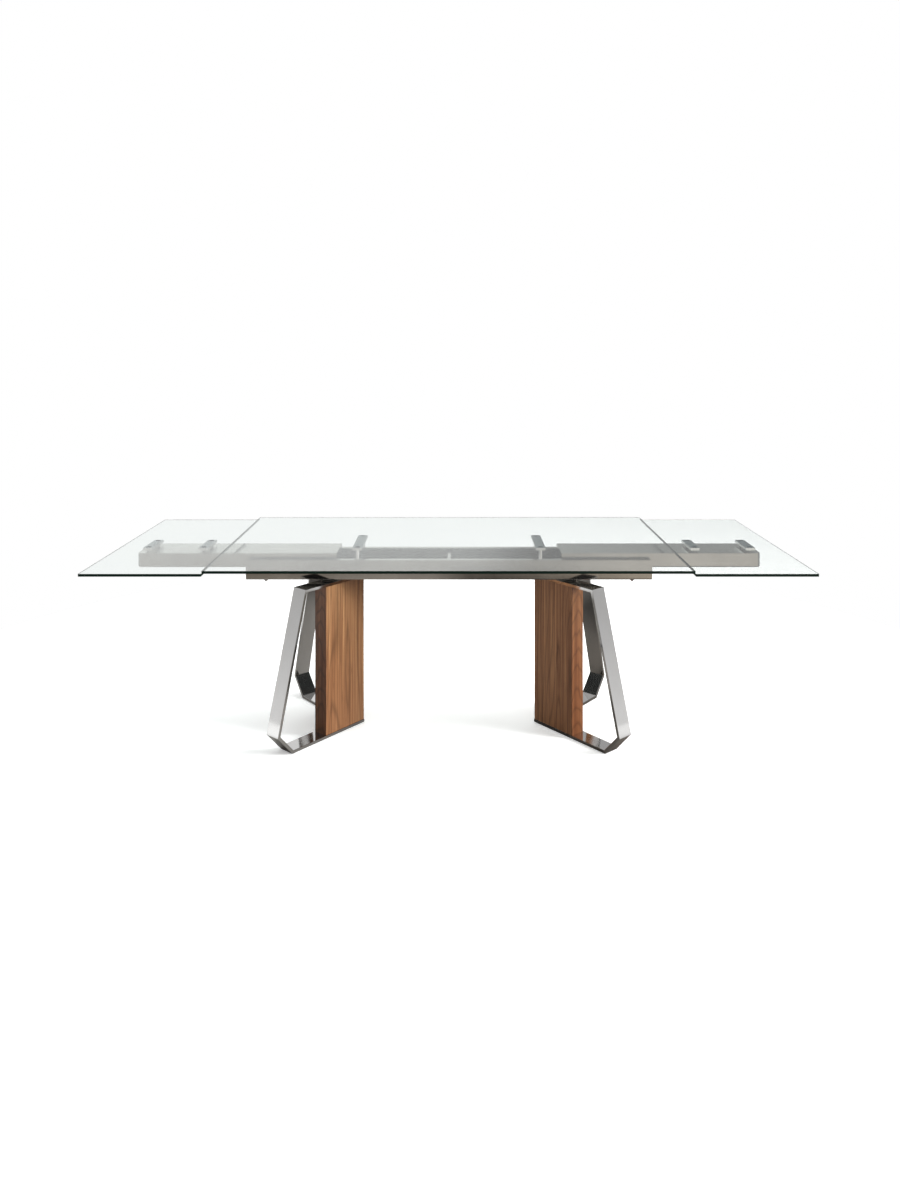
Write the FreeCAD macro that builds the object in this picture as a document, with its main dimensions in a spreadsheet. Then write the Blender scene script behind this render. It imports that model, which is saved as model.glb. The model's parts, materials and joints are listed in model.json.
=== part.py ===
import FreeCAD, Part
import Sketcher
import os

# Extendable glass dining table, shown pulled out to its full length.
# Millimetres. +X runs along the table, -Y is the front, +Z is up, and the
# origin is on the floor under the middle of the table.
# Everything that belongs to one end is drawn for the right end (+X). The left
# end is the same piece turned half a turn about Z.

doc = FreeCAD.newDocument("ExtendableDiningTable")
sheet = doc.addObject("Spreadsheet::Sheet", "Dims")

DIMENSIONS = {
    # glass top
    "top_height": 760,
    "table_depth": 1000,
    "centre_length": 1800,
    "leaf_length": 449,
    "seam_gap": 1,
    "glass_thick": 10,
    "glass_corner": 4,
    "glass_arris": 0.5,
    "leaf_clearance": 0.5,
    # glass carriers
    "disc_thick": 1,
    "disc_diameter": 22,
    "carrier_thick": 10,
    "carrier_edge": 1,
    "centre_carrier_length": 240,
    "centre_carrier_width": 40,
    "centre_carrier_place": 372.5,
    "centre_post_diameter": 19,
    "centre_post_spread": 210,
    "leaf_carrier_length": 150,
    "leaf_carrier_width": 38,
    "inner_carrier_place": 1011,
    "outer_carrier_place": 1239,
    "leaf_post_diameter": 14,
    "leaf_post_spread": 120,
    # tray beam
    "beam_length": 1650,
    "beam_width": 240,
    "beam_bottom": 627,
    "beam_high": 72,
    "beam_sheet": 3,
    "beam_bend": 5,
    "beam_end_top": 8,
    "beam_end_foot": 4,
    "ledge_width": 28,
    # extension arms
    "arm_outer_end": 1275,
    "arm_length": 815,
    "arm_width": 180,
    "arm_top": 720,
    "arm_high": 57,
    "arm_sheet": 3,
    "arm_corner": 15,
    "arm_bend": 5,
    "outer_cover_length": 400,
    "cover_seam": 0.6,
    "travel": 450,
    # slide rails and carriages
    "rail_spread": 110,
    "rail_inner_end": 15,
    "rail_outer_end": 816,
    "rail_high": 14,
    "rail_head": 18,
    "rail_neck": 11,
    "rail_head_high": 6,
    "carriage_width": 34,
    "carriage_length": 70,
    "carriage_drop": 29,
    "carriage_inset": 5,
    "running_gap": 0.3,
    # stops and guides
    "stop_thick": 12,
    "stop_width": 160,
    "stop_high": 58,
    "buffer_diameter": 20,
    "buffer_thick": 3.7,
    "buffer_spread": 120,
    "buffer_place": 675,
    "end_stop_thick": 8,
    "end_stop_high": 30,
    "guide_length": 100,
    # lift cartridges in the arms
    "cartridge_diameter": 26,
    "cartridge_high": 50,
    "cartridge_floor": 6,
    "cover_hole": 16,
    "bore_gap": 0.1,
    # bases
    "tip_place": 355,
    "splay": 50,
    "strap_width": 70,
    "strap_thick": 12,
    "strap_edge": 0.8,
    "foot_reach": 387,
    "knee_reach": 458.5,
    "knee_height": 82,
    "shoulder_reach": 322,
    "base_top": 621,
    "beyond_tip": 20,
    "panel_reach": 213,
    "panel_inset": 2,
    "panel_edge": 1,
    # fixings and feet
    "tie_diameter": 8,
    "tie_clearance": 0.5,
    "tie_inner": 60,
    "tie_outer": 140,
    "tie_top": 639,
    "tie_head": 16,
    "tie_head_high": 4,
    "tie_sunk": 1,
    "nut_width": 13,
    "nut_high": 6.5,
    "mount_plate_start": 368,
    "mount_plate_length": 150,
    "mount_plate_width": 190,
    "glide_diameter": 30,
    "glide_thick": 1.5,
    "glide_first": 105,
    "glide_step": 130,
    "screw_diameter": 6,
    "screw_length": 18,
    "screw_head": 12,
    "screw_head_high": 3,
    "cap_screw_place": 745,
    "cap_screw_spread": 212,
    "cap_screw_head": 18,
    "cap_screw_high": 7,
    "cap_screw_diameter": 8,
    "cap_screw_length": 18,
}

for row, (alias, value) in enumerate(DIMENSIONS.items(), start=1):
    sheet.set(f"A{row}", alias)
    sheet.set(f"B{row}", str(value))
    sheet.setAlias(f"B{row}", alias)
doc.recompute()

# heights and places that several pieces share, as expressions of the sheet
GLASS_BOTTOM = "(Dims.top_height - Dims.glass_thick)"
LEAF_TOP = f"({GLASS_BOTTOM} - Dims.leaf_clearance)"
LEAF_BOTTOM = f"({LEAF_TOP} - Dims.glass_thick)"
CENTRE_CARRIER_TOP = f"({GLASS_BOTTOM} - Dims.disc_thick)"
LEAF_CARRIER_TOP = f"({LEAF_BOTTOM} - Dims.disc_thick)"
BEAM_TOP = "(Dims.beam_bottom + Dims.beam_high)"
TRAY_FLOOR = "(Dims.beam_bottom + Dims.beam_sheet)"
ARM_BOTTOM = "(Dims.arm_top - Dims.arm_high)"
ARM_FLOOR = f"({ARM_BOTTOM} + Dims.arm_sheet)"
ARM_INNER_END = "(Dims.arm_outer_end - Dims.arm_length)"
COVER_JOINT = "(Dims.arm_outer_end - Dims.outer_cover_length)"
STRAP_FLOOR = "(Dims.glide_thick + Dims.strap_thick)"
HALF_TURN = {"right": 0, "left": 180}
HANDS = {"front": 1, "rear": -1}
UP = FreeCAD.Vector(0, 0, 1)
TINY = 1e-6
X, Z = 0, 2

parts = []


def finished(obj, label, turn=0):
    """Name a sub-part, turn it to its end of the table and keep it."""
    obj.Label = label
    obj.Placement = FreeCAD.Placement(FreeCAD.Vector(), FreeCAD.Rotation(UP, turn))
    parts.append(obj)
    return obj


def place(obj, x="0", y="0", z="0"):
    obj.setExpression(".Placement.Base.x", x)
    obj.setExpression(".Placement.Base.y", y)
    obj.setExpression(".Placement.Base.z", z)
    return obj


# ---- Part primitives ----

def block(x, y, z, length, width, height):
    """A box centred on x and y, standing on z."""
    box = doc.addObject("Part::Box", "Block")
    box.setExpression("Length", length)
    box.setExpression("Width", width)
    box.setExpression("Height", height)
    return place(box, f"{x} - ({length}) / 2", f"{y} - ({width}) / 2", z)


def rod(x, y, z, diameter, height):
    """An upright cylinder standing on z."""
    cylinder = doc.addObject("Part::Cylinder", "Rod")
    cylinder.setExpression("Radius", f"({diameter}) / 2")
    cylinder.setExpression("Height", height)
    return place(cylinder, x, y, z)


def cone(x, y, z, low, high, height):
    """An upright cone, from diameter low to diameter high."""
    taper = doc.addObject("Part::Cone", "Taper")
    taper.setExpression("Radius1", f"({low}) / 2")
    taper.setExpression("Radius2", f"({high}) / 2")
    taper.setExpression("Height", height)
    return place(taper, x, y, z)


def fuse(*shapes):
    joined = doc.addObject("Part::MultiFuse", "Joined")
    joined.Shapes = list(shapes)
    return joined


def cut(base, *tools):
    """Take the tools out of the base."""
    result = doc.addObject("Part::Cut", "Cut")
    result.Base = base
    result.Tool = tools[0] if len(tools) == 1 else group(*tools)
    return result


def group(*members):
    """Separate solids that share one node."""
    several = doc.addObject("Part::Compound", "Group")
    several.Links = list(members)
    return several


# ---- PartDesign bodies ----

def new_body(label):
    body = doc.addObject("PartDesign::Body", "Body_" + label)
    body.Label = label
    return body


def sketch_on(body, role, level="0"):
    """A sketch on one of the body's own origin planes, moved along its normal."""
    sketch = body.newObject("Sketcher::SketchObject", "Sketch_" + body.Label)
    origin_plane = next(f for f in body.Origin.OriginFeatures if f.Role == role)
    sketch.AttachmentSupport = (origin_plane, [""])
    sketch.MapMode = "FlatFace"
    sketch.setExpression(".AttachmentOffset.Base.z", level)
    return sketch


def outline(sketch, corners):
    """A closed outline whose corners are tied to the sheet, two sizes a corner."""
    start_radius = 50
    guesses = []
    for n in range(len(corners)):
        ray = FreeCAD.Rotation(UP, 360 * n / len(corners))
        guesses.append(ray.multVec(FreeCAD.Vector(start_radius, 0, 0)))
    first = sketch.GeometryCount
    for n, guess in enumerate(guesses):
        sketch.addGeometry(Part.LineSegment(guess, guesses[(n + 1) % len(guesses)]))
    for n, (across, along) in enumerate(corners):
        line, following = first + n, first + (n + 1) % len(corners)
        sketch.addConstraint(Sketcher.Constraint("Coincident", line, 2, following, 1))
        bind(sketch, "DistanceX", line, guesses[n].x, across)
        bind(sketch, "DistanceY", line, guesses[n].y, along)
    return sketch


def bind(sketch, kind, line, value, expression):
    """Tie the start point of a line to an expression, measured from the origin."""
    index = sketch.addConstraint(Sketcher.Constraint(kind, -1, 1, line, 1, value))
    sketch.setExpression(f"Constraints[{index}]", expression)


def rectangle(sketch, x, y, length, width):
    """A rectangle centred on x and y."""
    low_x, high_x = f"{x} - ({length}) / 2", f"{x} + ({length}) / 2"
    low_y, high_y = f"{y} - ({width}) / 2", f"{y} + ({width}) / 2"
    return outline(sketch, [(low_x, low_y), (high_x, low_y), (high_x, high_y), (low_x, high_y)])


def pad(body, sketch, length, midplane=False, reverse=False):
    feature = body.newObject("PartDesign::Pad", "Pad_" + body.Label)
    feature.Profile = sketch
    feature.setExpression("Length", length)
    feature.Midplane = midplane
    feature.Reversed = reverse
    doc.recompute()
    return feature


def pocket(body, sketch, length, reverse=False):
    """Cut a pocket, and stop if it takes nothing away."""
    before = body.Shape.Volume
    feature = body.newObject("PartDesign::Pocket", "Pocket_" + body.Label)
    feature.Profile = sketch
    feature.setExpression("Length", length)
    feature.Reversed = reverse
    doc.recompute()
    if body.Shape.Volume >= before:
        raise RuntimeError(f"the pocket in {body.Label} cuts nothing")
    return feature


def edges_where(feature, test):
    """Names of the feature's straight edges whose two ends pass the test."""
    names = []
    for n, edge in enumerate(feature.Shape.Edges, start=1):
        if len(edge.Vertexes) == 2 and test(edge.Vertexes[0].Point, edge.Vertexes[1].Point):
            names.append(f"Edge{n}")
    return names


def along_axis(one, other, axis):
    step = other - one
    return abs(step.normalize()[axis]) > 1 - TINY


def dress(body, kind, base, test, size, alias):
    """Fillet or chamfer the edges that pass the test."""
    feature = body.newObject("PartDesign::" + kind, kind + "_" + body.Label)
    feature.Base = (base, edges_where(base, test))
    feature.setExpression(size, alias)
    doc.recompute()
    return feature


def is_upright(one, other):
    return along_axis(one, other, Z)


def is_flat(one, other):
    return abs(one.z - other.z) < TINY


# ---- glass top ----

def glass_panel(label, middle, length, bottom, turn=0):
    """Tempered glass with small round corners and arrised edges."""
    body = new_body(label)
    sketch = rectangle(sketch_on(body, "XY_Plane", bottom), middle, "0", length, "Dims.table_depth")
    slab = pad(body, sketch, "Dims.glass_thick")
    rounded = dress(body, "Fillet", slab, is_upright, "Radius", "Dims.glass_corner")
    arris = body.newObject("PartDesign::Chamfer", "Chamfer_" + label)
    flat_faces = [n for n, f in enumerate(rounded.Shape.Faces, start=1) if is_level(f)]
    arris.Base = (rounded, [f"Face{n}" for n in flat_faces])
    arris.setExpression("Size", "Dims.glass_arris")
    return finished(body, label, turn)


def is_level(face):
    return face.Surface.TypeId == "Part::GeomPlane" and abs(face.normalAt(0, 0).z) > 1 - TINY


# ---- flat bars that carry the glass ----

def carrier(label, place_x, length, width, top, post_spread, turn):
    """A flat bar across the table, with a countersunk hole over each post."""
    bottom = f"({top} - Dims.carrier_thick)"
    body = new_body(label + "_blank")
    sketch = rectangle(sketch_on(body, "XY_Plane", bottom), place_x, "0", width, length)
    slab = pad(body, sketch, "Dims.carrier_thick")
    dress(body, "Chamfer", slab, is_upright, "Size", "Dims.carrier_edge")
    holes = []
    for side in (-1, 1):
        y = f"{side} * {post_spread} / 2"
        holes.append(screw(place_x, y, top, "Dims.bore_gap", "Dims.screw_length"))
    return finished(cut(body, *holes), label, turn)


def screw(x, y, top, play, length):
    """A countersunk screw with its flat head at top, grown all round by play."""
    shank = f"(Dims.screw_diameter + 2 * {play})"
    head = f"(Dims.screw_head + 2 * {play})"
    shaft = rod(x, y, f"{top} - {length}", shank, length)
    cone_head = cone(x, y, f"{top} - Dims.screw_head_high", shank, head, "Dims.screw_head_high")
    return fuse(shaft, cone_head)


def discs(label, places, bottom, turn):
    """Metal discs on the bars that are glued to the glass."""
    members = [rod(x, y, bottom, "Dims.disc_diameter", "Dims.disc_thick") for x, y in places]
    return finished(group(*members), label, turn)


def corner_places(x_places, spread):
    """Two places a row, one each side of the table's centre line."""
    return [(x, f"{side} * {spread} / 2") for x in x_places for side in (-1, 1)]


def centre_glass_carriers():
    bar_places = ["-Dims.centre_carrier_place", "Dims.centre_carrier_place"]
    places = corner_places(bar_places, "Dims.centre_post_spread")
    underside = f"({CENTRE_CARRIER_TOP} - Dims.carrier_thick)"
    for name, x in zip(("left", "right"), bar_places):
        carrier("centre_carrier_" + name, x, "Dims.centre_carrier_length",
                "Dims.centre_carrier_width", CENTRE_CARRIER_TOP, "Dims.centre_post_spread", 0)
    discs("centre_glass_discs", places, CENTRE_CARRIER_TOP, 0)
    screws = [screw(x, y, CENTRE_CARRIER_TOP, "0", "Dims.screw_length") for x, y in places]
    finished(group(*screws), "centre_carrier_screws")
    posts = []
    for x, y in places:
        bore = rod(x, y, f"{underside} - Dims.screw_length",
                   "Dims.screw_diameter + 2 * Dims.bore_gap", "Dims.screw_length")
        column = rod(x, y, BEAM_TOP, "Dims.centre_post_diameter", f"{underside} - {BEAM_TOP}")
        posts.append(cut(column, bore))
    finished(group(*posts), "centre_posts")


# ---- tray beam ----

def tray_beam():
    """Folded sheet: a floor, two walls and a ledge turned in along each wall."""
    body = new_body("tray_beam_blank")
    half = "Dims.beam_width / 2"
    inner = f"({half} - Dims.beam_sheet)"
    lip = f"({half} - Dims.ledge_width)"
    under_ledge = f"({BEAM_TOP} - Dims.beam_sheet)"
    corners = [
        (f"-({half})", "Dims.beam_bottom"), (half, "Dims.beam_bottom"), (half, BEAM_TOP),
        (lip, BEAM_TOP), (lip, under_ledge), (inner, under_ledge), (inner, TRAY_FLOOR),
        (f"-{inner}", TRAY_FLOOR), (f"-{inner}", under_ledge), (f"-{lip}", under_ledge),
        (f"-{lip}", BEAM_TOP), (f"-({half})", BEAM_TOP),
    ]
    profile = outline(sketch_on(body, "YZ_Plane"), corners)
    channel = pad(body, profile, "Dims.beam_length", midplane=True)
    bottom = sheet.beam_bottom
    dress(body, "Fillet", channel,
          lambda one, other: along_axis(one, other, X) and abs(one.z - bottom) < TINY,
          "Radius", "Dims.beam_bend")
    holes = []
    for turn in (0, 180):
        for hand in HANDS.values():
            holes += [tie_hole(turn, hand, place_u) for place_u in ("Dims.tie_inner", "Dims.tie_outer")]
        sign = 1 if turn == 0 else -1
        holes += [cap_screw_bore(sign, side, "Dims.beam_bottom", "Dims.beam_sheet")
                  for side in (-1, 1)]
    corners = []
    for end in (-1, 1):
        corners.append(end_corner(end, BEAM_TOP, -1, "Dims.beam_end_top"))
        corners.append(end_corner(end, "Dims.beam_bottom", 1, "Dims.beam_end_foot"))
    return finished(cut(body, *holes, *corners), "tray_beam")


def end_corner(end, level, inwards, radius):
    """What is cut off one corner of the beam's end to round it, as seen from the front."""
    middle_x = f"{end} * (Dims.beam_length / 2 - {radius})"
    middle_z = f"{level} + {inwards} * {radius}"
    square = block(f"{end} * (Dims.beam_length / 2 - {radius} / 2)", "0",
                   f"{level} + {inwards} * {radius} / 2 - {radius} / 2", radius, "Dims.beam_width",
                   radius)
    roll = doc.addObject("Part::Cylinder", "Roll")
    roll.setExpression("Radius", radius)
    roll.setExpression("Height", "Dims.beam_width")
    roll.Placement.Rotation = FreeCAD.Rotation(FreeCAD.Vector(1, 0, 0), 90)
    place(roll, middle_x, "Dims.beam_width / 2", middle_z)
    return cut(square, roll)


def tie_hole(turn, hand, reach):
    """A clearance hole in the tray floor for one tie bolt."""
    x, y = base_point(reach, "Dims.strap_width / 2", hand)
    sign = 1 if turn == 0 else -1
    return rod(f"{sign} * ({x})", f"{sign} * ({y})", "Dims.beam_bottom",
               "Dims.tie_diameter + Dims.tie_clearance", "Dims.beam_sheet")


def cap_screw_bore(sign, side, bottom, height):
    """A hole on the line of one cap screw."""
    return rod(f"{sign} * Dims.cap_screw_place", f"{side} * Dims.cap_screw_spread / 2", bottom,
               "Dims.cap_screw_diameter + Dims.bore_gap", height)


def cap_screws():
    """Round-headed screws under the beam that hold the mouth guides."""
    members = []
    for sign in (-1, 1):
        for side in (-1, 1):
            x = f"{sign} * Dims.cap_screw_place"
            y = f"{side} * Dims.cap_screw_spread / 2"
            head = cone(x, y, "Dims.beam_bottom - Dims.cap_screw_high",
                        "Dims.cap_screw_head - Dims.cap_screw_high", "Dims.cap_screw_head",
                        "Dims.cap_screw_high")
            shank = rod(x, y, "Dims.beam_bottom", "Dims.cap_screw_diameter", "Dims.cap_screw_length")
            members.append(fuse(head, shank))
    finished(group(*members), "beam_cap_screws")


# ---- slide rails, stops and guides, fixed in the beam ----

def slide_rails(name, turn):
    """Two T-headed rails on the tray floor."""
    rails = []
    length = "Dims.rail_outer_end - Dims.rail_inner_end"
    middle = "(Dims.rail_outer_end + Dims.rail_inner_end) / 2"
    for side in (-1, 1):
        y = f"{side} * Dims.rail_spread / 2"
        neck = block(middle, y, TRAY_FLOOR, length, "Dims.rail_neck", "Dims.rail_high")
        head = block(middle, y, f"{TRAY_FLOOR} + Dims.rail_high - Dims.rail_head_high", length,
                     "Dims.rail_head", "Dims.rail_head_high")
        rails.append(fuse(neck, head))
    finished(group(*rails), name + "_slide_rails", turn)


def rail_end_stops(name, turn):
    """Blocks across the outer ends of the rails that catch the carriages."""
    x = "Dims.rail_outer_end + Dims.end_stop_thick / 2"
    members = []
    for side in (-1, 1):
        y = f"{side} * Dims.rail_spread / 2"
        members.append(block(x, y, TRAY_FLOOR, "Dims.end_stop_thick", "Dims.carriage_width",
                             "Dims.end_stop_high"))
    finished(group(*members), name + "_rail_end_stops", turn)


def mouth_guides(name, turn):
    """Nylon blocks inside the beam's mouth, one each side of the arm."""
    half_beam = "(Dims.beam_width / 2 - Dims.beam_sheet)"
    half_arm = "(Dims.arm_width / 2 + Dims.seam_gap)"
    x = "Dims.beam_length / 2 - Dims.guide_length / 2 - Dims.beam_end_top"
    members = []
    for side in (-1, 1):
        y = f"{side} * ({half_beam} + {half_arm}) / 2"
        guide = block(x, y, TRAY_FLOOR, "Dims.guide_length", f"{half_beam} - {half_arm}",
                      "Dims.beam_high - 2 * Dims.beam_sheet")
        members.append(cut(guide, cap_screw_bore(1, side, TRAY_FLOOR, "Dims.cap_screw_length")))
    finished(group(*members), name + "_mouth_guides", turn)


def centre_stop():
    """A plate across the middle of the tray with rubber buffers on both faces."""
    plate = block("0", "0", TRAY_FLOOR, "Dims.stop_thick", "Dims.stop_width", "Dims.stop_high")
    finished(plate_at_rest(plate), "centre_stop")
    members = []
    for turn in (0, 180):
        for side in (-1, 1):
            disc = doc.addObject("Part::Cylinder", "Buffer")
            disc.setExpression("Radius", "Dims.buffer_diameter / 2")
            disc.setExpression("Height", "Dims.buffer_thick")
            disc.Placement.Rotation = FreeCAD.Rotation(FreeCAD.Vector(0, 1, 0), 90 if turn == 0 else -90)
            sign = 1 if turn == 0 else -1
            place(disc, f"{sign} * Dims.stop_thick / 2", f"{side} * Dims.buffer_spread / 2",
                  "Dims.buffer_place")
            members.append(disc)
    finished(group(*members), "stop_buffers")


def plate_at_rest(shape):
    """Wrap one placed primitive, so that it can be turned as a sub-part."""
    return group(shape)


# ---- sliding arms ----

def arm_case(name, turn):
    """Folded tray, open at the top, closed and rounded at its outer end."""
    label = name + "_arm_case"
    body = new_body(label)
    middle = "(Dims.arm_outer_end - Dims.arm_length / 2)"
    high = "(Dims.arm_high - Dims.arm_sheet)"
    solid = pad(body, rectangle(sketch_on(body, "XY_Plane", ARM_BOTTOM), middle, "0",
                                "Dims.arm_length", "Dims.arm_width"), high)
    outer_end = sheet.arm_outer_end
    bottom = sheet.arm_top - sheet.arm_high
    ends = dress(body, "Fillet", solid,
                 lambda one, other: is_upright(one, other) and abs(one.x - outer_end) < TINY,
                 "Radius", "Dims.arm_corner")
    dress(body, "Fillet", ends,
          lambda one, other: along_axis(one, other, X) and abs(one.z - bottom) < TINY,
          "Radius", "Dims.arm_bend")
    hollow = rectangle(sketch_on(body, "XY_Plane", "Dims.arm_top"), middle, "0",
                       "Dims.arm_length - 2 * Dims.arm_sheet", "Dims.arm_width - 2 * Dims.arm_sheet")
    pocket(body, hollow, "Dims.arm_high - Dims.arm_sheet")
    return finished(body, label, turn)


def arm_cover(name, turn, which, low_x, high_x, rounded, places):
    """A lid plate over half of the arm."""
    label = f"{name}_{which}_cover"
    body = new_body(label + "_blank")
    bottom = "(Dims.arm_top - Dims.arm_sheet)"
    slab = pad(body, rectangle(sketch_on(body, "XY_Plane", bottom), f"({low_x} + {high_x}) / 2",
                               "0", f"{high_x} - {low_x}", "Dims.arm_width"), "Dims.arm_sheet")
    if rounded:
        outer_end = sheet.arm_outer_end
        dress(body, "Fillet", slab,
              lambda one, other: is_upright(one, other) and abs(one.x - outer_end) < TINY,
              "Radius", "Dims.arm_corner")
        holes = [rod(x, y, bottom, "Dims.cover_hole", "Dims.arm_sheet") for x, y in places]
        return finished(cut(body, *holes), label, turn)
    return finished(body, label, turn)


def carriages(name, turn):
    """Four saddles under the arm that hook round the heads of the rails."""
    members = []
    inner = f"({ARM_INNER_END} + Dims.carriage_inset + Dims.carriage_length / 2)"
    outer = "(Dims.rail_outer_end - Dims.seam_gap - Dims.carriage_length / 2)"
    bottom = f"({ARM_BOTTOM} - Dims.carriage_drop)"
    head_bottom = f"({TRAY_FLOOR} + Dims.rail_high - Dims.rail_head_high - Dims.running_gap)"
    for x in (inner, outer):
        for side in (-1, 1):
            y = f"{side} * Dims.rail_spread / 2"
            saddle = block(x, y, bottom, "Dims.carriage_length", "Dims.carriage_width",
                           "Dims.carriage_drop")
            neck_way = block(x, y, bottom, "Dims.carriage_length",
                             "Dims.rail_neck + 2 * Dims.running_gap", "Dims.rail_high")
            head_way = block(x, y, head_bottom, "Dims.carriage_length",
                             "Dims.rail_head + 2 * Dims.running_gap",
                             "Dims.rail_head_high + 2 * Dims.running_gap")
            members.append(cut(saddle, fuse(neck_way, head_way)))
    finished(group(*members), name + "_carriages", turn)


def lift_cartridges(name, turn, places):
    """Upright cylinders in the arm that raise and lock the leaf's posts."""
    members = []
    for x, y in places:
        shell = rod(x, y, ARM_FLOOR, "Dims.cartridge_diameter", "Dims.cartridge_high")
        bore = rod(x, y, f"{ARM_FLOOR} + Dims.cartridge_floor",
                   "Dims.leaf_post_diameter + Dims.bore_gap",
                   "Dims.cartridge_high - Dims.cartridge_floor")
        members.append(cut(shell, bore))
    finished(group(*members), name + "_lift_cartridges", turn)


def leaf_posts(name, turn, places):
    """Round posts that stand in the cartridges and carry the leaf's bars."""
    members = []
    underside = f"({LEAF_CARRIER_TOP} - Dims.carrier_thick)"
    foot = f"({ARM_FLOOR} + Dims.cartridge_floor)"
    for x, y in places:
        column = rod(x, y, foot, "Dims.leaf_post_diameter", f"{underside} - {foot}")
        bore = rod(x, y, f"{underside} - Dims.screw_length",
                   "Dims.screw_diameter + 2 * Dims.bore_gap", "Dims.screw_length")
        members.append(cut(column, bore))
    finished(group(*members), name + "_leaf_posts", turn)


def extension(name, turn):
    """Everything that slides at one end of the table."""
    places = corner_places(["Dims.inner_carrier_place", "Dims.outer_carrier_place"],
                           "Dims.leaf_post_spread")
    arm_case(name, turn)
    arm_cover(name, turn, "inner", ARM_INNER_END, f"({COVER_JOINT} - Dims.cover_seam)", False, places)
    arm_cover(name, turn, "outer", COVER_JOINT, "Dims.arm_outer_end", True, places)
    carriages(name, turn)
    lift_cartridges(name, turn, places)
    leaf_posts(name, turn, places)
    for which in ("inner", "outer"):
        carrier(f"{name}_{which}_carrier", f"Dims.{which}_carrier_place", "Dims.leaf_carrier_length",
                "Dims.leaf_carrier_width", LEAF_CARRIER_TOP, "Dims.leaf_post_spread", turn)
    screws = [screw(x, y, LEAF_CARRIER_TOP, "0", "Dims.screw_length") for x, y in places]
    finished(group(*screws), name + "_carrier_screws", turn)
    discs(name + "_glass_discs", places, LEAF_CARRIER_TOP, turn)
    middle = "(Dims.centre_length / 2 + Dims.seam_gap + Dims.leaf_length / 2)"
    glass_panel(name + "_leaf_glass", middle, "Dims.leaf_length", LEAF_BOTTOM, turn)


# ---- V-shaped bases ----
# An arm of the V is drawn flat: u runs out from the tip of the V, and v across
# the strap towards the open side. Then it is swung round the tip by the splay.

def base_point(u, v, hand):
    """The table's x and y for a point of the front (1) or rear (-1) arm."""
    x = f"Dims.tip_place + ({u}) * cos(Dims.splay) + ({v}) * sin(Dims.splay)"
    y = f"{-hand} * (({u}) * sin(Dims.splay) - ({v}) * cos(Dims.splay))"
    return x, y


def swing(obj, hand):
    """Swing a piece drawn along u round the tip of the V."""
    obj.Placement.Rotation = FreeCAD.Rotation(UP, -hand * sheet.splay)
    obj.setExpression(".Placement.Base.x", "Dims.tip_place")
    return obj


def chamfer(shape, alias, test):
    """Break the edges that pass the test. The size is read again by name from the sheet."""
    size = sheet.get(alias)
    broken = doc.addObject("Part::Chamfer", "Broken")
    broken.Base = shape
    names = edges_where(shape, test)
    broken.Edges = [(int(name.removeprefix("Edge")), size, size) for name in names]
    doc.recompute()
    return broken


def plan_slab(hand, reach, inset, bottom, height):
    """An arm of the V seen from above, mitred on the table's centre line."""
    low, high = inset, f"(Dims.strap_width - {inset})"
    corners = [
        (f"{low} / tan(Dims.splay)", f"{hand} * {low}"), (reach, f"{hand} * {low}"),
        (reach, f"{hand} * {high}"), (f"{high} / tan(Dims.splay)", f"{hand} * {high}"),
    ]
    sketch = outline(doc.addObject("Sketcher::SketchObject", "Plan"), corners)
    place(sketch, z=bottom)
    return extrude(sketch, FreeCAD.Vector(0, 0, 1), height)


def extrude(source, direction, length):
    solid = doc.addObject("Part::Extrusion", "Extruded")
    solid.Base = source
    solid.DirMode = "Custom"
    solid.Dir = direction
    solid.Solid = True
    solid.setExpression("LengthFwd", length)
    return solid


def side_outline(hand):
    """The strap loop's outer outline, drawn upright, running past the tip."""
    corners = [
        ("-Dims.beyond_tip", "Dims.glide_thick"), ("Dims.foot_reach", "Dims.glide_thick"),
        ("Dims.knee_reach", "Dims.knee_height"), ("Dims.shoulder_reach", "Dims.base_top"),
        ("-Dims.beyond_tip", "Dims.base_top"),
    ]
    sketch = outline(doc.addObject("Sketcher::SketchObject", "Side"), corners)
    sketch.Placement = FreeCAD.Placement(FreeCAD.Vector(), FreeCAD.Rotation(FreeCAD.Vector(1, 0, 0), 90))
    return sketch


def strap_loop(label, turn, hand):
    """Flat strap folded round: floor run, toe, leaning run and top run, mitred at the tip."""
    across = FreeCAD.Vector(0, hand, 0)
    outer = side_outline(hand)
    inner = doc.addObject("Part::Offset2D", "Inner")
    inner.Source = outer
    inner.setExpression("Value", "-Dims.strap_thick")
    inner.Join = "Intersection"
    ring = cut(extrude(outer, across, "Dims.strap_width"), extrude(inner, across, "Dims.strap_width"))
    doc.recompute()
    ring = chamfer(ring, "strap_edge", lambda one, other: abs(one.y - other.y) < TINY)
    plan = plan_slab(hand, "Dims.knee_reach + Dims.beyond_tip", "0", "0", "Dims.base_top")
    loop = doc.addObject("Part::Common", "Loop")
    loop.Base = ring
    loop.Tool = plan
    holes = [tie_bore(u, hand, "0", "Dims.base_top", "Dims.tie_clearance")
             for u in ("Dims.tie_inner", "Dims.tie_outer")]
    sinks = []
    for u in ("Dims.tie_inner", "Dims.tie_outer"):
        v = f"{hand} * Dims.strap_width / 2"
        sinks.append(tie_head(u, v, "Dims.glide_thick", "Dims.tie_clearance"))
    swung = swing(cut(loop, *holes, *sinks), hand)
    return finished(group(swung), label, turn)


def tie_bore(u, hand, bottom, top, play):
    """An upright hole on the middle of the strap."""
    return rod(u, f"{hand} * Dims.strap_width / 2", bottom, f"Dims.tie_diameter + {play}",
               f"{top} - {bottom}")


def tie_head(u, v, bottom, play):
    """The countersunk head of a tie bolt, pointing down."""
    return cone(u, v, bottom, f"Dims.tie_head + {play}", f"Dims.tie_diameter + {play}",
                "Dims.tie_head_high + Dims.tie_sunk")


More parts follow.
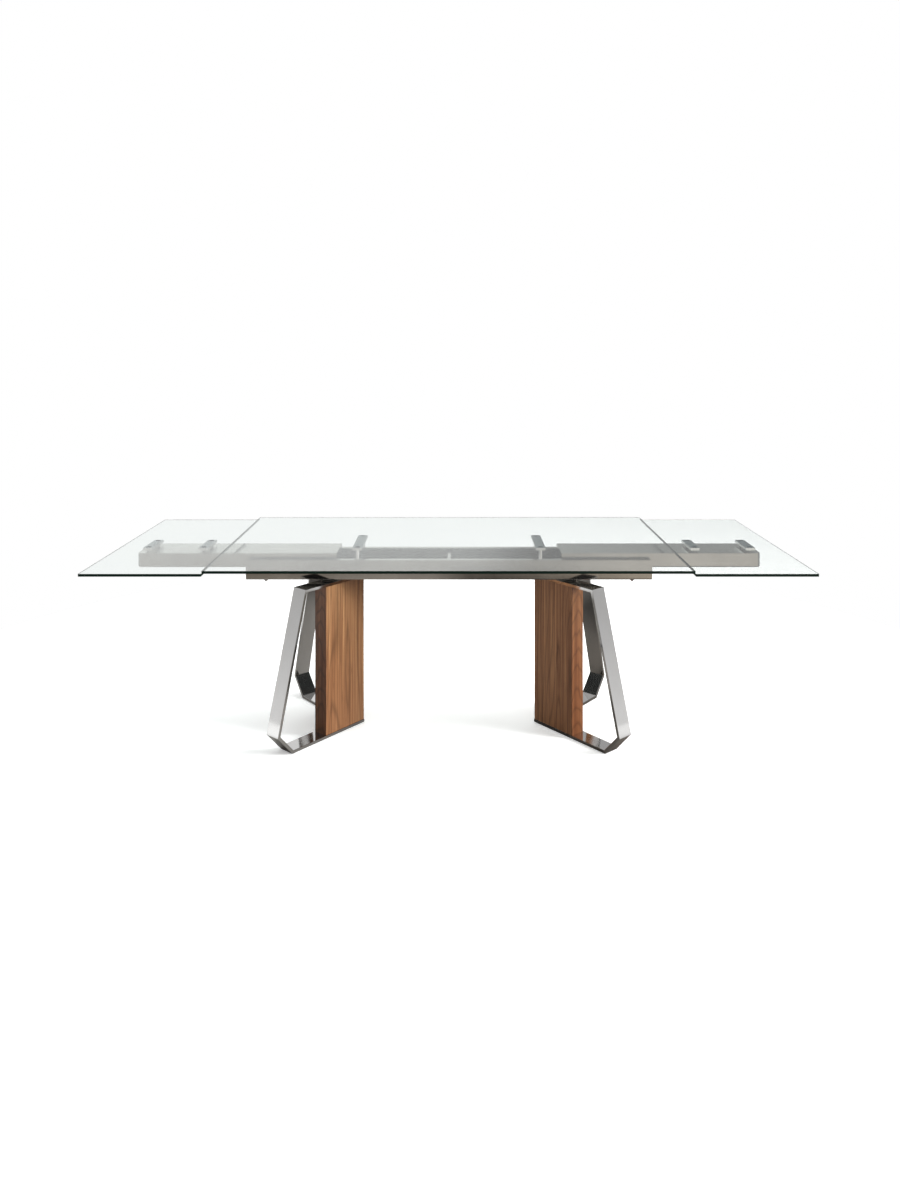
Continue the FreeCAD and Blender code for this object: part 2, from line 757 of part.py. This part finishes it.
def wood_panel(label, turn, hand):
    """Veneered panel that stands between the floor run and the top run."""
    top = "(Dims.base_top - Dims.strap_thick)"
    slab = plan_slab(hand, "Dims.panel_reach", "Dims.panel_inset", STRAP_FLOOR,
                     f"{top} - {STRAP_FLOOR}")
    doc.recompute()
    slab = chamfer(slab, "panel_edge", lambda one, other: is_upright(one, other) and one.x > sheet.tie_outer)
    holes = [tie_bore(u, hand, STRAP_FLOOR, top, "Dims.tie_clearance")
             for u in ("Dims.tie_inner", "Dims.tie_outer")]
    return finished(group(swing(cut(slab, *holes), hand)), label, turn)


def tie_bolts(name, turn):
    """Long bolts that clamp the floor run, panel, top run, plate and beam together."""
    bolts, nuts = [], []
    sunk = "(Dims.glide_thick + Dims.tie_sunk)"
    for hand in HANDS.values():
        for u in ("Dims.tie_inner", "Dims.tie_outer"):
            x, y = base_point(u, "Dims.strap_width / 2", hand)
            shank = rod(x, y, sunk, "Dims.tie_diameter", f"Dims.tie_top - {sunk}")
            head = cone(x, y, sunk, "Dims.tie_head - 2 * Dims.tie_sunk", "Dims.tie_diameter",
                        "Dims.tie_head_high")
            bolts.append(fuse(shank, head))
            nut = doc.addObject("Part::Prism", "Nut")
            nut.Polygon = 6
            nut.setExpression("Circumradius", "Dims.nut_width / sqrt(3)")
            nut.setExpression("Height", "Dims.nut_high")
            place(nut, x, y, TRAY_FLOOR)
            bore = rod(x, y, TRAY_FLOOR, "Dims.tie_diameter + Dims.bore_gap", "Dims.nut_high")
            nuts.append(cut(nut, bore))
    finished(group(*bolts), name + "_tie_bolts", turn)
    finished(group(*nuts), name + "_tie_nuts", turn)


def mount_plate(name, turn):
    """Spacer plate between the top runs of the V and the beam."""
    x = "Dims.mount_plate_start + Dims.mount_plate_length / 2"
    plate = block(x, "0", "Dims.base_top", "Dims.mount_plate_length", "Dims.mount_plate_width",
                  "Dims.beam_bottom - Dims.base_top")
    holes = []
    for hand in HANDS.values():
        for u in ("Dims.tie_inner", "Dims.tie_outer"):
            hole_x, hole_y = base_point(u, "Dims.strap_width / 2", hand)
            holes.append(rod(hole_x, hole_y, "Dims.base_top", "Dims.tie_diameter + Dims.tie_clearance",
                             "Dims.beam_bottom - Dims.base_top"))
    finished(cut(plate, *holes), name + "_mount_plate", turn)


def floor_glides(name, turn):
    """Thin round pads under the floor runs."""
    members = []
    for hand in HANDS.values():
        for n in range(3):
            u = f"Dims.glide_first + {n} * Dims.glide_step"
            x, y = base_point(u, "Dims.strap_width / 2", hand)
            members.append(rod(x, y, "0", "Dims.glide_diameter", "Dims.glide_thick"))
    finished(group(*members), name + "_floor_glides", turn)


def base(name, turn):
    """One V-shaped base. Turned half round, its front arm becomes the rear one."""
    for position, hand in HANDS.items():
        own_hand = hand if turn == 0 else -hand
        strap_loop(f"{name}_{position}_loop", turn, own_hand)
        wood_panel(f"{name}_{position}_panel", turn, own_hand)
    tie_bolts(name, turn)
    mount_plate(name, turn)
    floor_glides(name, turn)


glass_panel("centre_glass", "0", "Dims.centre_length", GLASS_BOTTOM)
centre_glass_carriers()
tray_beam()
cap_screws()
centre_stop()
for name, turn in HALF_TURN.items():
    slide_rails(name, turn)
    rail_end_stops(name, turn)
    mouth_guides(name, turn)
    base(name, turn)
    extension(name, turn)

doc.recompute()

for obj in doc.Objects:
    if "Invalid" in obj.State or "Error" in obj.State:
        raise RuntimeError(f"{obj.Label} did not build: {obj.State}")
for part in parts:
    if part.Shape.isNull() or not part.Shape.isValid():
        raise RuntimeError(f"{part.Label} has no valid shape")

os.makedirs("parts", exist_ok=True)
for part in parts:
    part.Shape.exportStep(f"parts/{part.Label}.step")
    box = part.Shape.BoundBox
    print(f"{part.Label:24s} solids {len(part.Shape.Solids)}  volume {part.Shape.Volume:12.1f}"
          f"  x {box.XMin:8.1f} {box.XMax:8.1f}  y {box.YMin:7.1f} {box.YMax:7.1f}"
          f"  z {box.ZMin:6.1f} {box.ZMax:6.1f}")
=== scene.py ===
import json
import math

import bmesh
import bpy
from mathutils import Matrix, Vector

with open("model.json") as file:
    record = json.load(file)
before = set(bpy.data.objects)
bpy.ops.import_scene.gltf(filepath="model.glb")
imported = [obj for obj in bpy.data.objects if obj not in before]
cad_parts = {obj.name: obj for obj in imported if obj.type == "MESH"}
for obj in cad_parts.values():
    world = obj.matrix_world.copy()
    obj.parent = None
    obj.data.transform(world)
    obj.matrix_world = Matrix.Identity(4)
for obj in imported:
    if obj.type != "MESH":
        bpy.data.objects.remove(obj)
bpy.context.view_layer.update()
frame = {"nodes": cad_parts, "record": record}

NODES = frame["nodes"]

# ---- the camera, in the table's frame ----
FOCAL_LENGTH = 27.15                 # mm
CAMERA_PLACE = (0.020, -3.793, 1.602)
CAMERA_SHIFT = (-0.0033, -0.2169)    # keeps the camera level, with the table in the middle

# ---- the studio, in metres and watts ----
FLOOR_RADIUS = 2.75
FLOOR_SIDES = 128
LIT_POINT = (0, 0, 0.4)
KEY_LIGHT = {"place": (14.0, -2.4, 5.0), "size": (6.0, 6.0), "watts": 4700}
TOP_LIGHT = {"place": (0, 0.9, 4.2), "size": (5.0, 3.5), "watts": 190}
GLASS_GAIN = (0.0, 0.09, 0.53, 0.64)     # what the glass lifts behind it, from left to right

# ---- the wood ----
SPLAY = math.radians(50)             # between a panel and the table's length
END_VENEER = 0.0015                  # how thick a panel's end veneer is
WALNUT_TONES = ((0.28, "6a452d"), (0.42, "906344"), (0.58, "aa7b56"), (0.75, "cb996c"))


# ---- node helpers ----

def rgba(colour):
    """A grey or a colour as Blender's four numbers."""
    if isinstance(colour, (int, float)):
        return (colour, colour, colour, 1)
    return (*colour, 1)


def from_hex(text):
    """Linear colour of a hex code."""
    parts = [int(text[n:n + 2], 16) / 255 for n in (0, 2, 4)]
    return tuple(c / 12.92 if c <= 0.04045 else ((c + 0.055) / 1.055) ** 2.4 for c in parts)


class Nodes:
    """A node tree that is put together step by step."""

    def __init__(self, tree, output, coordinates):
        self.tree = tree
        self.tree.nodes.clear()
        self.output = self.node(output)
        self.coordinates = self.node("ShaderNodeTexCoord").outputs[coordinates]

    def node(self, kind, **settings):
        made = self.tree.nodes.new(kind)
        for key, value in settings.items():
            setattr(made, key, value)
        return made

    def link(self, source, target):
        self.tree.links.new(source, target)

    def feed(self, socket, value):
        """Link a socket's value, or set it as a number or a colour."""
        if isinstance(value, bpy.types.NodeSocket):
            self.link(value, socket)
        elif socket.type == "RGBA":
            socket.default_value = rgba(value)
        else:
            socket.default_value = value

    def parts(self, vector):
        """The x, y and z of a vector."""
        split = self.node("ShaderNodeSeparateXYZ")
        self.link(vector, split.inputs[0])
        return split.outputs

    def calc(self, operation, *values):
        made = self.node("ShaderNodeMath", operation=operation)
        for socket, value in zip(made.inputs, values):
            self.feed(socket, value)
        return made.outputs[0]

    def noise(self, vector, scale, detail=3.0, roughness=0.5, distortion=0.0):
        made = self.node("ShaderNodeTexNoise")
        made.inputs["Scale"].default_value = scale
        made.inputs["Detail"].default_value = detail
        made.inputs["Roughness"].default_value = roughness
        made.inputs["Distortion"].default_value = distortion
        self.link(vector, made.inputs["Vector"])
        return made.outputs["Fac"]

    def ramp(self, factor, stops, smooth=False):
        """A colour ramp. Each stop is a position and a grey or a colour."""
        made = self.node("ShaderNodeValToRGB")
        ramp = made.color_ramp
        if smooth:
            ramp.interpolation = "EASE"
        while len(ramp.elements) < len(stops):
            ramp.elements.new(0.5)
        for element, (position, colour) in zip(ramp.elements, stops):
            element.position = position
            element.color = rgba(colour)
        self.link(factor, made.inputs["Fac"])
        return made.outputs["Color"]

    def spread(self, noise, low, high):
        """From one grey or colour to another, over the middle of a noise."""
        return self.ramp(noise, [(0.3, low), (0.7, high)])

    def mix(self, factor, one, other, blend="MIX"):
        made = self.node("ShaderNodeMix", data_type="RGBA", blend_type=blend)
        self.feed(made.inputs[0], factor)
        self.feed(made.inputs[6], one)
        self.feed(made.inputs[7], other)
        return made.outputs[2]

    def tinted(self, colour, tint, amount=1.0):
        """A colour multiplied by another."""
        return self.mix(amount, colour, tint, "MULTIPLY")

    def ray(self, fact):
        """A fact about the light's path so far, such as its Glossy Depth."""
        return self.node("ShaderNodeLightPath").outputs[fact]

    def mirrored(self, times=1):
        """1 where the light has met a mirror or a gloss this many times, and 0 elsewhere."""
        return self.calc("GREATER_THAN", self.ray("Glossy Depth"), times - 0.5)

    def through_glass(self):
        """1 where the light has come through glass, and 0 elsewhere."""
        return self.calc("GREATER_THAN", self.ray("Transmission Depth"), 0.5)


class Material(Nodes):
    """A surface, in the coordinates of its object, which are the table's."""

    def __init__(self, name):
        self.material = bpy.data.materials.new(name)
        self.material.use_nodes = True
        super().__init__(self.material.node_tree, "ShaderNodeOutputMaterial", "Object")

    def principled(self, **inputs):
        """The main shader, with each input either set or linked."""
        shader = self.node("ShaderNodeBsdfPrincipled")
        for key, value in inputs.items():
            self.feed(shader.inputs[key.replace("_", " ")], value)
        return shader

    def either(self, factor, one, other):
        """One shader where the factor is 0, and another where it is 1."""
        made = self.node("ShaderNodeMixShader")
        self.link(factor, made.inputs[0])
        self.link(one.outputs[0], made.inputs[1])
        self.link(other.outputs[0], made.inputs[2])
        return made

    def stretched(self, scale, source=None, turn=0.0):
        """Coordinates turned in plan and then stretched."""
        mapping = self.node("ShaderNodeMapping")
        mapping.inputs["Rotation"].default_value = (0, 0, turn)
        mapping.inputs["Scale"].default_value = scale
        self.link(source or self.coordinates, mapping.inputs["Vector"])
        return mapping.outputs["Vector"]

    def bump(self, height, strength, distance):
        made = self.node("ShaderNodeBump")
        made.inputs["Strength"].default_value = strength
        made.inputs["Distance"].default_value = distance
        self.link(height, made.inputs["Height"])
        return made.outputs["Normal"]

    def surface(self, shader):
        self.link(shader.outputs[0], self.output.inputs["Surface"])
        return self.material


# ---- glass ----

def clear_glass():
    """Float glass: clear through its face, and dark green along its edge."""
    m = Material("clear_glass")
    smudge = m.noise(m.coordinates, 7.0, 4.0)
    face = m.principled(Transmission_Weight=1.0, IOR=1.5, Specular_Tint=(0.42, 0.44, 0.44),
                        Roughness=m.ramp(smudge, [(0.45, 0.0), (0.75, 0.006)]),
                        Base_Color=m.spread(smudge, (0.985, 1.0, 0.992), (0.975, 0.995, 0.986)))
    edge = m.principled(Base_Color=(0.002, 0.012, 0.008), Roughness=0.12,
                        Specular_IOR_Level=0.15)
    shade = m.node("ShaderNodeBsdfTransparent")
    shade.inputs["Color"].default_value = (0.93, 0.96, 0.95, 1)
    body = m.node("ShaderNodeVolumeAbsorption")
    body.inputs["Color"].default_value = (0.30, 0.50, 0.44, 1)
    body.inputs["Density"].default_value = 9.0
    m.link(body.outputs[0], m.output.inputs["Volume"])
    sheet = m.either(edge_cover(m), face, edge)
    return m.surface(m.either(m.ray("Is Shadow Ray"), sheet, shade))


def edge_cover(m):
    """How much of the edge's green shows: all of it from outside, and most of it
    on the short ends from within the sheet."""
    geometry = m.node("ShaderNodeNewGeometry")
    normal = m.parts(geometry.outputs["True Normal"])
    upright = m.calc("LESS_THAN", m.calc("ABSOLUTE", normal[2]), 0.5)
    outside = m.calc("SUBTRACT", 1.0, geometry.outputs["Backfacing"])
    short_end = m.calc("MULTIPLY", m.calc("ABSOLUTE", normal[0]), 0.85)
    return m.calc("MULTIPLY", upright, m.calc("MAXIMUM", outside, short_end))


# ---- steel ----

def polished_steel(name):
    """Mirror-polished steel with a little haze and faint polishing marks."""
    m = Material(name)
    haze = m.noise(m.coordinates, 9.0, 4.0, 0.6)
    marks = m.noise(m.stretched((220, 220, 14)), 1.0, 3.0, 0.6)
    return m.surface(m.principled(
        Metallic=1.0,
        Base_Color=m.spread(haze, (0.70, 0.6895, 0.679), (0.735, 0.728, 0.721)),
        Roughness=m.spread(haze, 0.035, 0.085),
        Normal=m.bump(marks, 0.02, 0.0004)))


def dark_topped_steel(name):
    """Polished steel that is dark and dull on every face that looks up, where it meets the glass."""
    m = Material(name)
    normal = m.parts(m.node("ShaderNodeNewGeometry").outputs["Normal"])
    # faces that look up get a dark, dull, non-metal colour instead of steel
    upward_face = m.calc("GREATER_THAN", normal[2], 0.9)
    haze = m.noise(m.coordinates, 60.0, 4.0, 0.6)
    steel = m.spread(haze, (0.78, 0.79, 0.78), (0.86, 0.87, 0.86))
    dark = m.spread(haze, from_hex("232c2f"), from_hex("323d41"))
    return m.surface(m.principled(
        Specular_IOR_Level=0.1,
        Base_Color=m.mix(upward_face, steel, dark),
        Metallic=m.calc("SUBTRACT", 1.0, upward_face),
        Roughness=m.spread(haze, 0.12, 0.2)))


def satin_steel():
    """Brushed sheet steel, with the brush marks along the table."""
    m = Material("satin_steel")
    brush = m.noise(m.stretched((3, 260, 260)), 1.0, 4.0, 0.65)
    cloud = m.noise(m.coordinates, 6.0, 5.0, 0.6)
    grit = m.noise(m.coordinates, 420.0, 2.0, 0.7)
    tone = m.spread(cloud, from_hex("a8a39c"), from_hex("c3bfb8"))
    tone = m.mix(0.35, tone, m.spread(brush, 0.25, 0.62), "SOFT_LIGHT")
    tone = m.mix(0.12, tone, m.ramp(grit, [(0.35, 0.1), (0.65, 0.9)]), "SOFT_LIGHT")
    return m.surface(m.principled(
        Metallic=1.0,
        Base_Color=tone,
        Roughness=m.spread(cloud, 0.06, 0.13),
        Normal=m.bump(brush, 0.04, 0.0005)))


# ---- wood ----

def walnut(name, turn, panel):
    """Upright walnut veneer for the panels that a turn in plan, in radians, lays
    along the table. panel is one of their nodes."""
    m = Material(name)
    along = m.stretched((1, 1, 1), turn=turn)
    place = m.parts(along)
    out, across = (m.calc("ABSOLUTE", part) for part in place[:2])
    panel_end, panel_middle = panel_extent(panel, turn)
    on_end = m.calc("GREATER_THAN", out, panel_end - END_VENEER)

    drift = m.noise(m.stretched((5, 5, 0.7), along), 1.0, 2.0, 0.5)
    figure = m.calc("MULTIPLY", m.noise(m.stretched((9, 9, 0.55), along), 1.0, 1.0, 0.27), 34.0)
    arches = end_arches(m, along, m.calc("SUBTRACT", across, panel_middle), place[2])
    rings = m.mix(on_end, m.calc("PINGPONG", figure, 1.0), arches)
    streaks = m.noise(m.stretched((150, 150, 1.5), along), 1.0, 4.0, 0.6, 0.4)
    pores = m.noise(m.stretched((520, 520, 9), along), 1.0, 3.0, 0.7)

    tone = m.ramp(streaks, [(position, from_hex(text)) for position, text in WALNUT_TONES])
    ring_lines = m.calc("MULTIPLY", m.ramp(rings, [(0.0, 1.0), (0.35, 0.0)]), 0.45)
    tone = m.mix(ring_lines, tone, from_hex("4a3020"))
    tone = m.tinted(tone, from_hex("a88a6c"), m.ramp(drift, [(0.35, 0.0), (0.65, 0.5)]))
    tone = m.tinted(tone, from_hex("a58a78"), m.calc("MULTIPLY", on_end, 0.62))
    tone = m.mix(m.ramp(pores, [(0.56, 0.0), (0.7, 0.55)]), tone, from_hex("3a2619"))
    return m.surface(m.principled(
        Base_Color=tone,
        Roughness=m.ramp(pores, [(0.4, 0.42), (0.7, 0.62)]),
        Normal=m.bump(pores, 0.25, 0.0004)))


def end_arches(m, along, aside, up):
    """Pointed arches, where the end veneer was cut tangent to the tree's rings."""
    bow = m.calc("MULTIPLY", m.calc("MULTIPLY", aside, aside), 1400.0)
    wander = m.calc("MULTIPLY", m.noise(m.stretched((14, 14, 5), along), 1.0, 2.0, 0.5), 5.0)
    rise = m.calc("MULTIPLY", up, 26.0)
    return m.calc("PINGPONG", m.calc("ADD", m.calc("ADD", bow, rise), wander), 1.0)


def panel_extent(panel, turn):
    """How far out a panel's end lies and how far aside its middle, once it is turned."""
    spin = Matrix.Rotation(turn, 2)
    corners = [spin @ vertex.co.xy for vertex in NODES[panel].data.vertices]
    aside = [abs(corner.y) for corner in corners]
    return max(abs(corner.x) for corner in corners), (min(aside) + max(aside)) / 2


# ---- small parts ----

def plain(name, dark, light, roughness, grain, metallic=0.0):
    """A moulded, cast or pressed surface with a fine grain."""
    m = Material(name)
    speck = m.noise(m.coordinates, grain, 4.0, 0.65)
    return m.surface(m.principled(
        Metallic=metallic,
        Base_Color=m.spread(speck, dark, light),
        Roughness=m.spread(speck, roughness, roughness + 0.12),
        Normal=m.bump(speck, 0.2, 0.0003)))


# ---- dressing the table ----

def slot_materials():
    """One material for each of the record's slots but the walnut."""
    return {
        "clear_glass": clear_glass(),
        "bonding_disc": dark_topped_steel("bonding_disc"),
        "bonded_bar": dark_topped_steel("bonded_bar"),
        "polished_steel": polished_steel("polished_steel"),
        "bright_steel": polished_steel("bright_steel"),
        "satin_steel": satin_steel(),
        "black_rubber": plain("black_rubber", 0.015, 0.035, 0.7, 600),
        "black_nylon": plain("black_nylon", 0.02, 0.045, 0.45, 500),
        "grey_felt": plain("grey_felt", 0.10, 0.2, 0.9, 900),
        "cast_alloy": plain("cast_alloy", 0.42, 0.55, 0.38, 700, 1.0),
        "zinc_steel": plain("zinc_steel", 0.48, 0.6, 0.28, 120, 1.0),
    }


def panel_materials():
    """Walnut for each panel: the two that lie in line with each other share one."""
    pairs = (("walnut_veneer", SPLAY, ("right_front_panel", "left_rear_panel")),
             ("walnut_veneer_other_way", -SPLAY, ("left_front_panel", "right_rear_panel")))
    made = {}
    for name, turn, panels in pairs:
        made.update(dict.fromkeys(panels, walnut(name, turn, panels[0])))
    return made


def dress(node, material):
    """Put a material on every slot of a CAD node's object."""
    target = NODES[node]
    if not target.material_slots:
        target.data.materials.append(material)
    for place in target.material_slots:
        place.material = material


def dress_table():
    by_slot = slot_materials()
    by_node = panel_materials()
    for part in frame["record"]["subparts"]:
        name = part["node"]
        dress(name, by_node[name] if name in by_node else by_slot[part["material_slot"]])


# ---- studio ----

def studio_floor():
    """A round pale floor, which mirrors see as a dim one."""
    mesh = bpy.data.meshes.new("studio_floor")
    shape = bmesh.new()
    bmesh.ops.create_circle(shape, cap_ends=True, segments=FLOOR_SIDES, radius=FLOOR_RADIUS)
    shape.to_mesh(mesh)
    shape.free()
    disc = bpy.data.objects.new("studio_floor", mesh)
    bpy.context.scene.collection.objects.link(disc)
    mesh.materials.append(floor_material())


def floor_material():
    m = Material("studio_floor")
    speck = m.noise(m.coordinates, 30.0, 3.0)
    from_left = m.calc("MULTIPLY_ADD", m.parts(m.coordinates)[0], 0.25, 0.5)
    in_mirrors = m.ramp(from_left, [
        (0.03, 1.0), (0.13, (0.16, 0.15, 0.14)), (0.26, (0.34, 0.32, 0.30)),
        (0.47, (0.31, 0.29, 0.275)), (0.53, (0.075, 0.069, 0.064)),
        (0.70, (0.14, 0.125, 0.11)), (0.90, (0.10, 0.09, 0.08)), (0.97, 0.6)])
    soft = m.ray("Is Diffuse Ray")
    pale = m.mix(soft, m.spread(speck, 0.93, 0.95), 0.45)
    gain = m.ramp(from_left, list(zip((0.06, 0.50, 0.68, 0.94), GLASS_GAIN)), True)
    glow = m.calc("ADD", 0.3, m.calc("MULTIPLY", m.through_glass(), gain))
    seen_straight = m.calc("SUBTRACT", 1.0, m.calc("MAXIMUM", soft, m.mirrored()))
    return m.surface(m.principled(
        Roughness=0.9,
        Specular_IOR_Level=0.1,
        Base_Color=m.mix(m.mirrored(), pale, in_mirrors),
        Emission_Color=1.0,
        Emission_Strength=m.calc("MULTIPLY", glow, seen_straight)))


def studio_world():
    """White all round, but mirrors see a studio: dim in front, bright behind."""
    world = bpy.data.worlds.new("studio")
    bpy.context.scene.world = world
    world.use_nodes = True
    m = Nodes(world.node_tree, "ShaderNodeOutputWorld", "Generated")
    direction = [m.calc("MULTIPLY_ADD", part, 0.5, 0.5) for part in m.parts(m.coordinates)]
    background = m.node("ShaderNodeBackground")
    background.inputs["Strength"].default_value = 1.0
    m.link(m.mix(m.mirrored(), open_studio(m, direction), mirrored_studio(m, direction)),
           background.inputs["Color"])
    m.link(background.outputs[0], m.output.inputs["Surface"])


def open_studio(m, direction):
    """White to the eye, lifted through the glass, and dimmer where it only lights."""
    gain = m.ramp(direction[0], list(zip((0.36, 0.50, 0.555, 0.64), GLASS_GAIN)), True)
    white = m.calc("ADD", 1.0, m.calc("MULTIPLY", m.through_glass(), gain))
    return m.mix(m.ray("Is Diffuse Ray"), white, 0.4)


def mirrored_studio(m, direction):
    """What polished steel and glass reflect, by height and by side. A part of the
    direction runs from 0 to 1: west to east, south to north, and down to up."""
    east, north, height = direction
    side = m.ramp(height, [
        (0.0, 0.30), (0.40, 0.5), (0.455, 0.84), (0.475, 0.82), (0.515, 0.58),
        (0.56, 0.45), (0.70, 0.32), (0.80, 0.03), (0.92, 0.03), (0.98, 0.6)])

    below = [(0.0, 0.80), (0.43, from_hex("e6dbcb")), (0.495, from_hex("ada295"))]
    first = m.ramp(height, below + [(0.52, 0.9), (0.66, 1.0), (0.85, 0.3), (0.98, 0.6)])
    second = m.ramp(height, below + [(0.52, 0.05), (0.70, 0.03), (0.92, 0.03), (0.98, 0.6)])
    front = m.mix(m.mirrored(2), first, second)
    front = m.tinted(front, m.ramp(east, [(0.45, 0.375), (0.54, 0.46), (0.575, 0.80), (0.62, 1.0)]))
    front = m.tinted(front, m.mix(m.through_glass(), 1.0, (1.35, 1.39, 1.50)))

    back = m.ramp(height, [(0.0, 0.4), (0.45, 0.95), (0.66, 1.0), (0.80, 0.4), (1.0, 0.85)])
    back = m.tinted(back, m.ramp(east, [(0.36, 1.0), (0.50, 0.92), (0.555, 0.52), (0.64, 0.42)], True))

    facing_front = m.ramp(north, [(0.10, 1.0), (0.30, 0.0)], True)
    facing_back = m.ramp(north, [(0.62, 0.0), (0.80, 1.0)], True)
    return m.mix(facing_back, m.mix(facing_front, side, front), back)


def softbox(name, place, size, watts):
    """A soft lamp on the table, which no mirror shows."""
    light = bpy.data.lights.new(name, "AREA")
    light.shape = "RECTANGLE"
    light.size, light.size_y = size
    light.energy = watts
    lamp = bpy.data.objects.new(name, light)
    bpy.context.scene.collection.objects.link(lamp)
    lamp.location = place
    aim = Vector(LIT_POINT) - Vector(place)
    lamp.rotation_euler = aim.to_track_quat("-Z", "Y").to_euler()
    lamp.visible_glossy = False
    lamp.visible_transmission = False


def camera():
    data = bpy.data.cameras.new("camera")
    data.lens = FOCAL_LENGTH
    data.shift_x, data.shift_y = CAMERA_SHIFT
    seen_from = bpy.data.objects.new("camera", data)
    bpy.context.scene.collection.objects.link(seen_from)
    seen_from.location = CAMERA_PLACE
    seen_from.rotation_euler = (math.radians(90), 0, 0)
    bpy.context.scene.camera = seen_from


def light_paths():
    """Enough bounces to follow light along the inside of a glass sheet, and plain colours."""
    cycles = bpy.context.scene.cycles
    cycles.max_bounces = 36
    cycles.transmission_bounces = 32
    cycles.glossy_bounces = 32
    cycles.transparent_max_bounces = 16
    bpy.context.scene.view_settings.view_transform = "Standard"


dress_table()
studio_floor()
studio_world()
softbox("key_light", **KEY_LIGHT)
softbox("top_light", **TOP_LIGHT)
camera()
light_paths()
